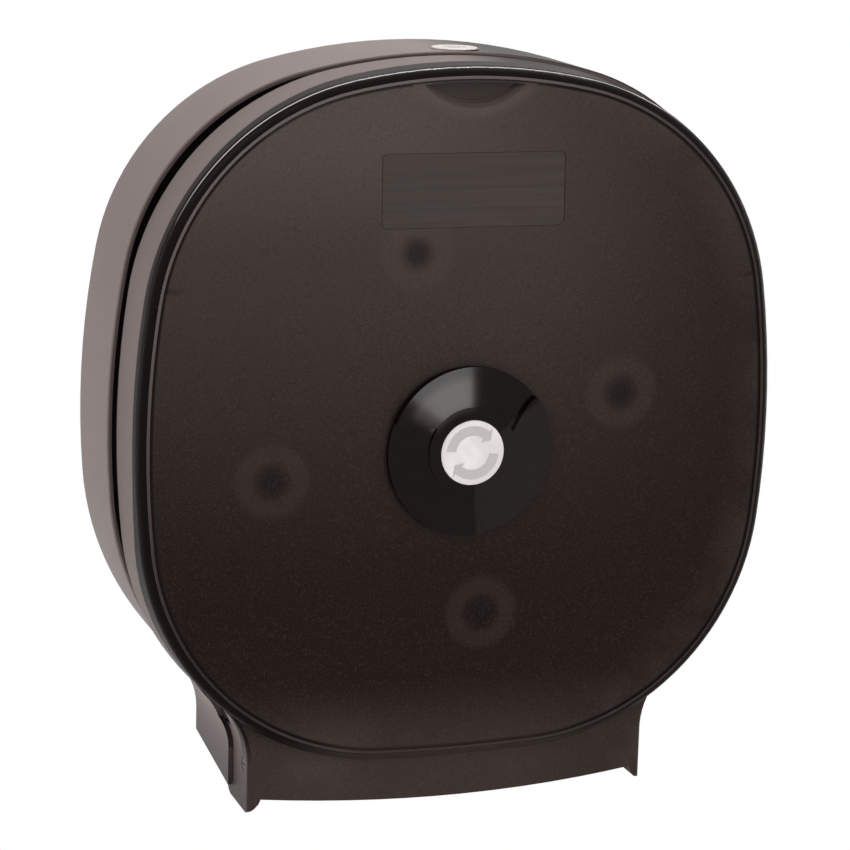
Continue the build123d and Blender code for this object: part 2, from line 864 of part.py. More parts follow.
with BuildPart() as detent_plunger:
    with BuildSketch(Plane.XY.offset(plunger_bottom)):
        with Locations((0, -ring_middle)):
            Circle(plunger_radius)
    extrude(amount=nose_centre - plunger_bottom)
    with Locations((0, -ring_middle, nose_centre)):
        Sphere(plunger_radius)
detent_plunger.part.label = "detent_plunger"
export_step(detent_plunger.part, "parts/detent_plunger.step")

spring_rise = plunger_bottom - block_bore_bottom - 2 * spring_wire
with BuildPart() as detent_spring:
    with BuildLine(Plane.XY):
        coil = Helix(
            spring_rise / spring_turns,
            spring_rise,
            spring_coil_radius,
            center=(0, -ring_middle, block_bore_bottom + spring_wire),
        )
    with BuildSketch(Plane(origin=coil @ 0, z_dir=coil % 0)):
        Circle(spring_wire)
    sweep()
detent_spring.part.label = "detent_spring"
export_step(detent_spring.part, "parts/detent_spring.step")

# Lock in the top of the housing
with BuildPart() as lock_bezel:
    with BuildSketch(Plane.XY.offset(lock_top)):
        with Locations((lock_x, -lock_depth)):
            Circle(bezel_radius)
            Circle(lock_body_radius + press_clearance, mode=Mode.SUBTRACT)
    extrude(amount=bezel_thickness)
    fillet(lock_bezel.faces().sort_by(Axis.Z)[-1].edges().sort_by(SortBy.LENGTH)[-1], bezel_round)
lock_bezel.part.label = "lock_bezel"
export_step(lock_bezel.part, "parts/lock_bezel.step")

with BuildPart() as lock_body:
    with BuildSketch(Plane.XY.offset(bezel_top)):
        with Locations((lock_x, -lock_depth)):
            Circle(lock_body_radius)
            Circle(lock_rotor_radius + running_clearance, mode=Mode.SUBTRACT)
    extrude(amount=-lock_body_length)
lock_body.part.label = "lock_body"
export_step(lock_body.part, "parts/lock_body.step")

with BuildPart() as lock_nut:
    with BuildSketch(Plane.XY.offset(lock_top - lock_pad_thickness)):
        with Locations((lock_x, -lock_depth)):
            RegularPolygon(lock_nut_radius, 6)
            Circle(lock_body_radius + press_clearance, mode=Mode.SUBTRACT)
    extrude(amount=-lock_nut_thickness)
lock_nut.part.label = "lock_nut"
export_step(lock_nut.part, "parts/lock_nut.step")

with BuildPart() as lock_cylinder:
    with BuildSketch(Plane.XY.offset(rotor_bottom)):
        with Locations((lock_x, -lock_depth)):
            Circle(lock_rotor_radius)
    extrude(amount=bezel_top - seat_gap - rotor_bottom)
    with BuildSketch(Plane.XY.offset(bezel_top)):
        with Locations((lock_x, -lock_depth)):
            SlotOverall(key_slot_length, key_slot_width)
    extrude(amount=-key_slot_depth, mode=Mode.SUBTRACT)
    with BuildSketch(Plane.XY.offset(rotor_bottom)):
        with Locations((lock_x, -lock_depth)):
            Circle(cam_screw_radius + press_clearance)
    extrude(amount=cam_screw_length, mode=Mode.SUBTRACT)
lock_cylinder.part.label = "lock_cylinder"
export_step(lock_cylinder.part, "parts/lock_cylinder.step")

with BuildPart() as lock_cam:
    with BuildSketch(Plane.XY.offset(cam_bottom)):
        with Locations((lock_x, -lock_depth)):
            Circle(lock_rotor_radius)
            Rectangle(cam_reach, cam_width, align=(Align.MIN, Align.CENTER))
            Circle(cam_screw_radius + press_clearance, mode=Mode.SUBTRACT)
    extrude(amount=cam_thickness)
    with BuildSketch(Plane.XY.offset(cam_bottom)):
        with Locations((lock_x + cam_reach, -lock_depth)):
            Rectangle(cam_hook, cam_width, align=(Align.MAX, Align.CENTER))
    extrude(amount=-cam_hook_length)
lock_cam.part.label = "lock_cam"
export_step(lock_cam.part, "parts/lock_cam.step")

below_cam = Plane(origin=(lock_x, -lock_depth, cam_bottom), x_dir=(1, 0, 0), z_dir=(0, 0, -1))
cam_bolt = hex_socket_screw(cam_screw_head, cam_screw_head_height, cam_screw_radius, cam_thickness + cam_screw_grip)
with BuildPart() as cam_screw:
    with Locations(below_cam):
        add(cam_bolt)
cam_screw.part.label = "cam_screw"
export_step(cam_screw.part, "parts/cam_screw.step")

with BuildPart() as latch_striker:
    with BuildSketch(Plane.YZ.offset(lock_x)):
        with BuildLine():
            Polyline(
                (-striker_lip_front, striker_top),
                (striker_thickness - striker_lip_front, striker_top),
                (striker_thickness - striker_lip_front, striker_foot),
                (-striker_leg_depth, striker_foot),
                (-striker_leg_depth, striker_foot + striker_leg_height),
                (striker_thickness - striker_leg_depth, striker_foot + striker_leg_height),
                (striker_thickness - striker_leg_depth, striker_floor),
                (-striker_lip_front, striker_floor),
                close=True,
            )
        make_face()
    extrude(amount=striker_width / 2, both=True)
    with BuildSketch(at_depth(striker_leg_depth)):
        with Locations((lock_x, striker_screw_middle)):
            with GridLocations(1, striker_screw_spacing, 1, 2):
                Circle(striker_screw_radius + press_clearance)
    extrude(amount=-striker_thickness, mode=Mode.SUBTRACT)
latch_striker.part.label = "latch_striker"
export_step(latch_striker.part, "parts/latch_striker.step")

behind_striker = Plane(
    origin=(lock_x, striker_thickness - striker_leg_depth, striker_screw_middle),
    x_dir=(1, 0, 0),
    z_dir=(0, 1, 0),
)
striker_bolt = hex_socket_screw(
    striker_screw_head,
    striker_screw_head_height,
    striker_screw_radius,
    striker_screw_length,
)
with BuildPart() as striker_screws:
    with Locations(behind_striker):
        with GridLocations(1, striker_screw_spacing, 1, 2):
            add(striker_bolt)
striker_screws.part.label = "striker_screws"
export_step(striker_screws.part, "parts/striker_screws.step")

# Hinge pins: pressed in the housing's ears, with their heads sunk in the skirt
for name, side in (("left", -1), ("right", 1)):
    with BuildPart() as hinge_pin:
        with BuildSketch(Plane.YZ.offset(side * ear_inner)):
            with Locations(pivot):
                Circle(hinge_pin_radius)
        extrude(amount=side * (pin_head_outer - ear_inner))
        with BuildSketch(Plane.YZ.offset(side * pin_head_outer)):
            with Locations(pivot):
                Circle(pin_head_radius)
        extrude(amount=-side * pin_head_height)
        with BuildSketch(Plane.YZ.offset(side * pin_head_outer)):
            with Locations(pivot):
                Rectangle(1.5 * pin_head_radius, pin_slot_width)
        extrude(amount=-side * pin_head_height / 2, mode=Mode.SUBTRACT)
    hinge_pin.part.label = f"hinge_pin_{name}"
    export_step(hinge_pin.part, f"parts/hinge_pin_{name}.step")

# Knob and its drive
with BuildPart() as knob_bushing:
    with BuildSketch(at_depth(knob_bush_rear)):
        Circle(knob_bush_radius)
    extrude(amount=face_depth - knob_bush_rear)
    with BuildSketch(at_depth(knob_bush_seat - knob_bush_flange_thickness)):
        Circle(knob_bush_flange)
    extrude(amount=knob_bush_flange_thickness)
    with BuildSketch(at_depth(knob_bush_rear)):
        Circle(shaft_radius + running_clearance)
    extrude(amount=face_depth - knob_bush_rear, mode=Mode.SUBTRACT)
knob_bushing.part.label = "knob_bushing"
export_step(knob_bushing.part, "parts/knob_bushing.step")


def wing_section(angle, rim_height, hub_height):
    """One radial section of a wing of the knob, which rises towards its step."""
    slope = (rim_height - hub_height) / (knob_radius - knob_hub_radius)
    inner = knob_hub_radius / 2
    outer = knob_radius + 2 * wall
    place = Plane(
        origin=(0, -knob_plate_front, 0),
        x_dir=(cos(radians(angle)), 0, sin(radians(angle))),
        z_dir=(sin(radians(angle)), 0, -cos(radians(angle))),
    )
    with BuildSketch(place) as face:
        with BuildLine():
            Polyline(
                (inner, -2 * knob_base),
                (outer, -2 * knob_base),
                (outer, hub_height + slope * (outer - knob_hub_radius)),
                (knob_hub_radius, hub_height),
                (inner, hub_height),
                close=True,
            )
        make_face()
    return face.sketch


with BuildPart() as wing:
    for index in reversed(range(wing_sections)):
        share = index / (wing_sections - 1)
        share += wing_overlap_share * (2 * share - 1)
        rim_height = rim_low + (rim_high - rim_low) * share
        hub_height = hub_low + (hub_high - hub_low) * share
        add(wing_section(wing_angle + share * 360 / wing_count, rim_height, hub_height))
    loft()
    start_edge = [polar(radius, wing_angle + lean) for radius, lean in step_shape]
    end_edge = [polar(radius, wing_angle + 360 / wing_count + lean) for radius, lean in step_shape]
    reach, lean = step_shape[-1]
    with BuildSketch(at_depth(knob_rear)):
        with BuildLine():
            Spline(*start_edge)
            ThreePointArc(start_edge[-1], polar(reach, wing_angle + 180 / wing_count + lean), end_edge[-1])
            Spline(*end_edge)
            Line(start_edge[0], end_edge[0])
        make_face()
        Circle(knob_radius, mode=Mode.INTERSECT)
    extrude(amount=2 * knob_hub_height, mode=Mode.INTERSECT)

with BuildPart() as knob:
    with BuildSketch(at_depth(knob_rear)):
        Circle(knob_radius)
    extrude(amount=knob_base)
    for turn in range(wing_count):
        add(wing.part, rotation=(0, turn * 360 / wing_count, 0))
    with BuildSketch(at_depth(knob_rear)):
        Circle(knob_hub_radius)
    extrude(amount=knob_hub_height)
    with BuildSketch(at_depth(knob_front)):
        Circle(disc_radius + disc_clearance)
    extrude(amount=disc_rear - knob_front, mode=Mode.SUBTRACT)
    with BuildSketch(at_depth(disc_rear)):
        Circle(shaft_radius + knob_clip_space)
    extrude(amount=knob_clip_rear - disc_rear, mode=Mode.SUBTRACT)
    with BuildSketch(at_depth(knob_rear)):
        add(keyed_bore(press_clearance))
    extrude(amount=knob_hub_height, mode=Mode.SUBTRACT)
knob.part.label = "knob"
export_step(knob.part, "parts/knob.step")

with BuildPart() as knob_disc:
    with BuildSketch(at_depth(disc_rear)):
        Circle(disc_radius)
    extrude(amount=disc_thickness)
    fillet(knob_disc.faces().sort_by(Axis.Y)[0].edges(), disc_round)
knob_disc.part.label = "knob_disc"
export_step(knob_disc.part, "parts/knob_disc.step")

with BuildPart() as arrow_inlays:
    with BuildSketch(at_depth(disc_front)):
        for middle in arrow_angles:
            tail = middle + arrow_sweep / 2
            neck = middle - arrow_sweep / 2 + arrow_head
            with BuildLine():
                CenterArc((0, 0), arrow_outer, tail, neck - tail)
                Polyline(
                    polar(arrow_outer, neck),
                    polar(arrow_outer + arrow_head_reach, neck),
                    polar((arrow_inner + arrow_outer) / 2, neck - arrow_head),
                    polar(arrow_inner - arrow_head_reach, neck),
                    polar(arrow_inner, neck),
                )
                CenterArc((0, 0), arrow_inner, neck, tail - neck)
                Line(polar(arrow_inner, tail), polar(arrow_outer, tail))
            make_face()
    extrude(amount=arrow_height)
arrow_inlays.part.label = "arrow_inlays"
export_step(arrow_inlays.part, "parts/arrow_inlays.step")

with BuildPart() as knob_shaft:
    with BuildSketch(at_depth(shaft_rear)):
        add(keyed_bore(0))
    extrude(amount=shaft_front - shaft_rear)
    with BuildSketch(at_depth(dog_hub_front)):
        Circle(shaft_radius)
    extrude(amount=knob_rear - dog_hub_front)
    with BuildSketch(at_depth(knob_clip_rear)):
        Circle(2 * shaft_radius)
        Circle(shaft_flat - clip_groove, mode=Mode.SUBTRACT)
    extrude(amount=clip_thickness, mode=Mode.SUBTRACT)
    with BuildSketch(at_depth(shaft_rear)):
        Circle(knob_screw_radius + press_clearance)
    extrude(amount=knob_screw_grip, mode=Mode.SUBTRACT)
knob_shaft.part.label = "knob_shaft"
export_step(knob_shaft.part, "parts/knob_shaft.step")

knob_ring = retaining_clip(shaft_flat - clip_groove + press_clearance, shaft_radius + knob_clip_reach, clip_thickness)
with BuildPart() as knob_clip:
    with Locations(at_depth(knob_clip_rear)):
        add(knob_ring)
knob_clip.part.label = "knob_clip"
export_step(knob_clip.part, "parts/knob_clip.step")

with BuildPart() as drive_dog:
    with BuildSketch(at_depth(dog_tip)):
        add(cross_face(0))
    extrude(amount=dog_hub_rear - dog_tip)
    with BuildSketch(at_depth(dog_hub_rear)):
        Circle(dog_hub_radius)
    extrude(amount=dog_hub_front - dog_hub_rear)
    with BuildSketch(at_depth(shaft_rear)):
        add(keyed_bore(press_clearance))
    extrude(amount=dog_hub_front - shaft_rear, mode=Mode.SUBTRACT)
    with BuildSketch(at_depth(dog_tip)):
        Circle(knob_screw_radius + press_clearance)
    extrude(amount=shaft_rear - dog_tip, mode=Mode.SUBTRACT)
    with BuildSketch(at_depth(dog_tip)):
        Circle(knob_screw_head + press_clearance)
    extrude(amount=knob_screw_head_height + seat_gap, mode=Mode.SUBTRACT)
drive_dog.part.label = "drive_dog"
export_step(drive_dog.part, "parts/drive_dog.step")

behind_dog = Plane(
    origin=(0, -(dog_tip + knob_screw_head_height + seat_gap), 0),
    x_dir=(1, 0, 0),
    z_dir=(0, 1, 0),
)
dog_screw_length = shaft_rear + knob_screw_grip - dog_tip - knob_screw_head_height - 2 * seat_gap
dog_bolt = hex_socket_screw(knob_screw_head, knob_screw_head_height, knob_screw_radius, dog_screw_length)
with BuildPart() as dog_screw:
    with Locations(behind_dog):
        add(dog_bolt)
dog_screw.part.label = "dog_screw"
export_step(dog_screw.part, "parts/dog_screw.step")

# Carousel: a four-armed spider on a bushing, with the index ring behind and the drive column in front
with BuildPart() as carousel_spider:
    with BuildSketch(at_depth(spider_rear)):
        Circle(spider_disc_radius)
    extrude(amount=spider_front - spider_rear)
    with BuildSketch(at_depth(arm_rear)) as arms:
        Circle(spider_disc_radius)
        with PolarLocations(spindle_circle / 2, roll_count, 90 + carousel_angle):
            Rectangle(spindle_circle, arm_width)
        with PolarLocations(spindle_circle, roll_count, 90 + carousel_angle):
            Circle(arm_end_radius)
        fillet(arms.vertices(), arm_root_round)
    extrude(amount=spider_thickness)
    with BuildSketch(at_depth(spider_front)):
        with PolarLocations((rib_start + rib_end) / 2, roll_count, 90 + carousel_angle):
            Rectangle(rib_end - rib_start, rib_width)
    extrude(amount=rib_height)
    with BuildSketch(at_depth(spider_rear)):
        Circle(spider_hub_radius)
    extrude(amount=bush_front - spider_rear)
    with BuildSketch(at_depth(spider_rear)):
        Circle(bush_radius + press_clearance)
    extrude(amount=bush_front - spider_rear, mode=Mode.SUBTRACT)
    with BuildSketch(at_depth(spider_rear)):
        with PolarLocations(spindle_circle, roll_count, 90 + carousel_angle):
            Circle(post_radius + press_clearance)
        with PolarLocations(column_screw_circle / 2, roll_count, 45):
            Circle(small_screw_radius + press_clearance)
        with PolarLocations(ring_screw_circle / 2, roll_count, 45 + carousel_angle):
            Circle(small_screw_radius + press_clearance)
    extrude(amount=spider_front - spider_rear, mode=Mode.SUBTRACT)
carousel_spider.part.label = "carousel_spider"
export_step(carousel_spider.part, "parts/carousel_spider.step")

with BuildPart() as index_ring:
    with BuildSketch(at_depth(ring_rear)):
        Circle(index_ring_radius)
        Circle(index_ring_bore, mode=Mode.SUBTRACT)
        with PolarLocations(notch_centre, roll_count):
            Circle(notch_radius, mode=Mode.SUBTRACT)
        with PolarLocations(ring_screw_circle / 2, roll_count, 45 + carousel_angle):
            Circle(small_screw_radius + press_clearance, mode=Mode.SUBTRACT)
    extrude(amount=index_ring_thickness)
index_ring.part.label = "index_ring"
export_step(index_ring.part, "parts/index_ring.step")

ring_bolt = hex_socket_screw(screw_head_radius, screw_head_height, small_screw_radius, ring_screw_length)
with BuildPart() as ring_screws:
    with Locations(at_depth(spider_front)):
        with PolarLocations(ring_screw_circle / 2, roll_count, 45 + carousel_angle):
            add(ring_bolt)
ring_screws.part.label = "ring_screws"
export_step(ring_screws.part, "parts/ring_screws.step")

with BuildPart() as hub_bushing:
    with BuildSketch(at_depth(bush_rear)):
        Circle(bush_radius)
        Circle(axle_radius + running_clearance, mode=Mode.SUBTRACT)
    extrude(amount=bush_length)
hub_bushing.part.label = "hub_bushing"
export_step(hub_bushing.part, "parts/hub_bushing.step")

with BuildPart() as hub_column:
    with BuildSketch(at_depth(column_rear)):
        Circle(column_flange_radius)
    extrude(amount=column_flange_thickness)
    with BuildSketch(at_depth(column_rear)):
        Circle(column_radius)
    extrude(amount=column_tube_front - column_rear)
    with BuildSketch(at_depth(column_rear)):
        Circle(column_bore)
    extrude(amount=column_tube_front - column_rear, mode=Mode.SUBTRACT)
    with BuildSketch(at_depth(column_rear)):
        with PolarLocations(column_screw_circle / 2, roll_count, 45):
            Circle(small_screw_radius + press_clearance)
    extrude(amount=column_flange_thickness, mode=Mode.SUBTRACT)
hub_column.part.label = "hub_column"
export_step(hub_column.part, "parts/hub_column.step")

column_bolt = hex_socket_screw(screw_head_radius, screw_head_height, small_screw_radius, column_screw_length)
with BuildPart() as column_screws:
    with Locations(at_depth(column_rear + column_flange_thickness)):
        with PolarLocations(column_screw_circle / 2, roll_count, 45):
            add(column_bolt)
column_screws.part.label = "column_screws"
export_step(column_screws.part, "parts/column_screws.step")

with BuildPart() as drive_socket:
    with BuildSketch(at_depth(column_tube_front)):
        Circle(column_radius)
    extrude(amount=socket_flange_thickness)
    with BuildSketch(at_depth(column_tube_front)):
        Circle(column_bore - press_clearance)
    extrude(amount=-socket_plug_length)
    with BuildSketch(at_depth(column_front_depth)):
        add(cross_face(dog_clearance))
    extrude(amount=-socket_depth, mode=Mode.SUBTRACT)
drive_socket.part.label = "drive_socket"
export_step(drive_socket.part, "parts/drive_socket.step")

# Roll spindles, each with its post, drag washer, cap and screw
with BuildPart() as drag_washers:
    with BuildSketch(at_depth(spider_front)):
        with PolarLocations(spindle_circle, roll_count, 90 + carousel_angle):
            Circle(washer_radius)
            Circle(post_radius + press_clearance, mode=Mode.SUBTRACT)
    extrude(amount=washer_thickness)
drag_washers.part.label = "drag_washers"
export_step(drag_washers.part, "parts/drag_washers.step")

post_bolt = hex_socket_screw(post_head_radius, post_head_height, post_screw_radius, post_screw_length)
with BuildPart() as post_screws:
    with Locations(at_depth(post_front)):
        with PolarLocations(spindle_circle, roll_count, 90 + carousel_angle):
            add(post_bolt)
post_screws.part.label = "post_screws"
export_step(post_screws.part, "parts/post_screws.step")

for number, angle in enumerate(spindle_angles, start=1):
    place = polar(spindle_circle, angle)

    with BuildPart() as spindle_post:
        with BuildSketch(at_depth(arm_rear - post_flange_thickness)):
            with Locations(place):
                Circle(post_radius)
        extrude(amount=post_front - arm_rear + post_flange_thickness)
        with BuildSketch(at_depth(arm_rear)):
            with Locations(place):
                Circle(post_flange_radius)
        extrude(amount=-post_flange_thickness)
        with BuildSketch(at_depth(post_front)):
            with Locations(place):
                Circle(post_screw_radius + press_clearance)
        extrude(amount=-post_screw_length - seat_gap, mode=Mode.SUBTRACT)
    spindle_post.part.label = f"spindle_post_{number}"
    export_step(spindle_post.part, f"parts/spindle_post_{number}.step")

    with BuildPart() as roll_spindle:
        with BuildSketch(at_depth(spindle_rear)):
            with Locations(place):
                Circle(spindle_flange_radius)
        extrude(amount=spindle_flange_thickness)
        with BuildSketch(at_depth(spindle_rear)):
            with Locations(place):
                Circle(spindle_radius)
        extrude(amount=spindle_length)
        # The shell is open at the front, round a hub that four webs carry
        with BuildSketch(at_depth(spindle_rear + spindle_wall)):
            with Locations(place):
                Circle(spindle_radius - spindle_wall)
                Circle(post_radius + running_clearance + spindle_hub_wall, mode=Mode.SUBTRACT)
                Rectangle(2 * spindle_radius, spindle_web, mode=Mode.SUBTRACT)
                Rectangle(spindle_web, 2 * spindle_radius, mode=Mode.SUBTRACT)
        extrude(amount=spindle_length - spindle_wall, mode=Mode.SUBTRACT)
        with BuildSketch(at_depth(spindle_rear)):
            with Locations(place):
                Circle(post_radius + running_clearance)
        extrude(amount=spindle_length, mode=Mode.SUBTRACT)
    roll_spindle.part.label = f"roll_spindle_{number}"
    export_step(roll_spindle.part, f"parts/roll_spindle_{number}.step")

    with BuildPart() as spindle_cap:
        with BuildSketch(at_depth(spindle_front)):
            with Locations(place):
                Circle(cap_radius)
        extrude(amount=cap_thickness)
        fillet(spindle_cap.faces().sort_by(Axis.Y)[0].edges(), cap_round)
        with BuildSketch(at_depth(spindle_front)):
            with Locations(place):
                Circle(post_radius + running_clearance)
        extrude(amount=cap_thickness, mode=Mode.SUBTRACT)
    spindle_cap.part.label = f"spindle_cap_{number}"
    export_step(spindle_cap.part, f"parts/spindle_cap_{number}.step")
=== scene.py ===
from math import cos, radians, sin

import bpy
from mathutils import Matrix, Vector

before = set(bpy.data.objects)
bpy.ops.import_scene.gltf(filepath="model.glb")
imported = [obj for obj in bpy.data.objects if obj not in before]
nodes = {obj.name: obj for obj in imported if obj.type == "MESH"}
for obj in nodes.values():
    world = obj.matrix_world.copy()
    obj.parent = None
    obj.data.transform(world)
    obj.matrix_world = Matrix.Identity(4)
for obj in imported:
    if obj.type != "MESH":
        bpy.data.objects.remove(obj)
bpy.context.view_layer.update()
print("frame loaded:", len(nodes), "nodes")


class Wire:  # a shader value, so that shader maths is written as Python expressions
    def __init__(self, sheet, socket):
        self.sheet = sheet
        self.socket = socket

    def run(self, operation, *others, swap=False):
        values = [self, *others]
        if swap:
            values.reverse()
        return self.sheet.node("ShaderNodeMath", {"operation": operation}, dict(enumerate(values)))

    def __add__(self, other):
        return self.run("ADD", other)

    def __sub__(self, other):
        return self.run("SUBTRACT", other)

    def __mul__(self, other):
        return self.run("MULTIPLY", other)

    def __truediv__(self, other):
        return self.run("DIVIDE", other)

    def __pow__(self, other):
        return self.run("POWER", other)

    def __neg__(self):
        return self.run("MULTIPLY", -1)

    def __abs__(self):
        return self.run("ABSOLUTE")

    def __rsub__(self, other):
        return self.run("SUBTRACT", other, swap=True)

    def __rtruediv__(self, other):
        return self.run("DIVIDE", other, swap=True)

    __radd__ = __add__
    __rmul__ = __mul__

    def low(self, other):
        return self.run("MINIMUM", other)

    def high(self, other):
        return self.run("MAXIMUM", other)

    def root(self):
        return self.run("SQRT")

    def swing(self):  # a pattern that runs about a half, brought to run about zero
        return self - 0.5

    def ramp(self, start, end):  # a smooth step, 0 at the start and 1 at the end
        return self.sheet.node(
            "ShaderNodeMapRange", {"interpolation_type": "SMOOTHSTEP"}, {0: self, 1: start, 2: end})


class Sheet:  # the nodes of one material, or of the world
    def __init__(self, owner):
        owner.use_nodes = True
        self.owner = owner
        self.tree = owner.node_tree
        kinds = ("BSDF_PRINCIPLED", "BACKGROUND")
        self.shader = next(item for item in self.tree.nodes if item.type in kinds)
        places = self.tree.nodes.new("ShaderNodeTexCoord").outputs
        self.where = Wire(self, places["Object"])
        self.facing = Wire(self, places["Normal"])

    def node(self, kind, settings, inputs, out=0):
        made = self.tree.nodes.new(kind)
        for key, value in settings.items():
            setattr(made, key, value)
        for key, value in inputs.items():
            self.put(made.inputs[key], value)
        return Wire(self, made.outputs[out])

    def put(self, socket, value):
        if isinstance(value, Wire):
            self.tree.links.new(value.socket, socket)
        elif isinstance(value, tuple) and len(value) == 3 and socket.type == "RGBA":
            socket.default_value = (*value, 1)
        else:
            socket.default_value = value

    def set(self, **values):  # the shader's own sockets, with spaces written as _
        for key, value in values.items():
            self.put(self.shader.inputs[key.replace("_", " ")], value)

    def axes(self, vector):
        split = self.tree.nodes.new("ShaderNodeSeparateXYZ")
        self.put(split.inputs[0], vector)
        return [Wire(self, output) for output in split.outputs]

    def stretched(self, x, y, z):  # the place, drawn out for patterns that run one way
        return self.node("ShaderNodeMapping", {}, {0: self.where, 3: (x, y, z)})

    def noise(self, scale, detail, rough, place=None):
        return self.node(
            "ShaderNodeTexNoise", {},
            {"Vector": place or self.where, "Scale": scale, "Detail": detail, "Roughness": rough})

    def mix(self, share, first, second):  # colours
        return self.node(
            "ShaderNodeMix", {"data_type": "RGBA"}, {0: share, 6: first, 7: second}, out=2)

    def bump(self, height, strength, distance):
        self.set(Normal=self.node(
            "ShaderNodeBump", {},
            {"Height": height, "Strength": strength, "Distance": distance}))


def newSheet(name):
    return Sheet(bpy.data.materials.new(name))


colours = {
    "smoke": (0.0108, 0.0052, 0.0036),
    # the pale tone and the crown tone are painted light on the face; the crown tone also colours random
    # specks
    "smokeLitThrough": (0.053, 0.0385, 0.0335),
    "smokeCrown": (0.098, 0.079, 0.073),
    # the dark tone is painted shade over the spindle ends and in the finger scoop, and also colours dark
    # lines and random specks
    "smokeDark": (0.0050, 0.0026, 0.0022),
    # the rim's near black is a painted dark reflection
    "smokeRimDarkReflection": (0.0032, 0.0012, 0.0008),
    # the walls' pale tone is painted light from the left, and the shade tone below it is painted shade
    "smokeWallLit": (0.188, 0.149, 0.141),
    "smokeShade": (0.021, 0.015, 0.014),
    "beadHighlight": (0.20, 0.16, 0.15),
    # painted highlight on the rim and on the bead
    "rimLineHighlight": (0.62, 0.59, 0.57),
    # the housing's pale tone is painted light from the left as well
    "housing": (0.210, 0.163, 0.154),
    # painted shade for the hollow side of the walls
    "housingInnerShade": (0.030, 0.024, 0.022),
    "knob": (0.0042, 0.0022, 0.0016),
    # painted sheen on the knob: a greyer wing and a shine on the top wing
    "knobGreySheen": (0.0135, 0.0098, 0.0088),
    "knobSheen": (0.060, 0.050, 0.047),
    "disc": (0.71, 0.665, 0.66),
    "arrow": (0.47, 0.43, 0.425),
    "label": (0.0215, 0.0145, 0.0122),
    "inner": (0.045, 0.042, 0.041),
    "natural": (0.68, 0.66, 0.60),
    "spindle": (0.33, 0.32, 0.31),
    "zinc": (0.50, 0.50, 0.51),
    "lock": (0.50, 0.46, 0.445),
    "white": (1.0, 1.0, 1.0),
}

# In the dictionaries below a pattern is its scale, detail and roughness, and a pair of numbers is where
# a smooth step starts and ends, unless a note says otherwise. Lengths are metres. x runs to the right,
# y to the back and z up, in a point's place and in its lean, which is the way that the surface faces there.

mouldGrain = {  # the texture of an eroded mould: two patterns over each other, as detail and roughness
    "fine": (3.0, 0.6),
    "fineShare": 0.6,
    "coarse": (2.0, 0.5),
    "coarseShare": 0.4,
    "coarseScale": 0.35,
}


def grain(sheet, scale, strength, depth):
    fine = sheet.noise(scale, *mouldGrain["fine"])
    coarse = sheet.noise(scale * mouldGrain["coarseScale"], *mouldGrain["coarse"])
    height = fine * mouldGrain["fineShare"] + coarse * mouldGrain["coarseShare"]
    sheet.bump(height, strength, depth)
    return fine


moulded = {  # the plain plastics, with a little pale dust
    "grainDepth": 0.0002,
    "dust": (55.0, 4.0, 0.6),
    "dustStep": (0.45, 0.75),
    "dustPaler": 1.18,
    "dustLift": 0.004,
    "dustRough": 0.05,
    "grainRough": 0.12,
    "shine": 0.3,
    "ior": 1.49,
}


def plainPlastic(name, colour, rough, scale=1600.0, strength=0.25):
    sheet = newSheet(name)
    fine = grain(sheet, scale, strength, moulded["grainDepth"])
    dust = sheet.noise(*moulded["dust"]).ramp(*moulded["dustStep"])
    pale = tuple(min(1.0, value * moulded["dustPaler"] + moulded["dustLift"]) for value in colour)
    sheet.set(
        Base_Color=sheet.mix(dust, colour, pale),
        Roughness=rough + fine.swing() * moulded["grainRough"] + dust * moulded["dustRough"],
        Specular_IOR_Level=moulded["shine"],
        IOR=moulded["ior"])
    return sheet.owner


wallLight = {  # painted light and shade: the light from the left, painted in, greys the outer walls, less so to the right and low down
    "turn": (-0.03, 0.12),
    "low": (0.145, 0.194),
    "lowShare": 0.72,
    "outward": (-0.002, 0.002),  # painted shade: the hollow side of a wall is darker
}


# paints light on a wall from the left, and paints shade to the right, low down and on its hollow side
def shadedWall(sheet, colour, place, lean):
    x, _, z = place
    leanX, _, leanZ = lean
    shade = colours["smokeShade"]
    low = (-z).ramp(*wallLight["low"]) * wallLight["lowShare"]
    outer = sheet.mix(leanX.ramp(*wallLight["turn"]), sheet.mix(low, colour, shade), shade)
    outward = (leanX * x + leanZ * z).ramp(*wallLight["outward"])
    return sheet.mix(outward, colours["housingInnerShade"], outer)


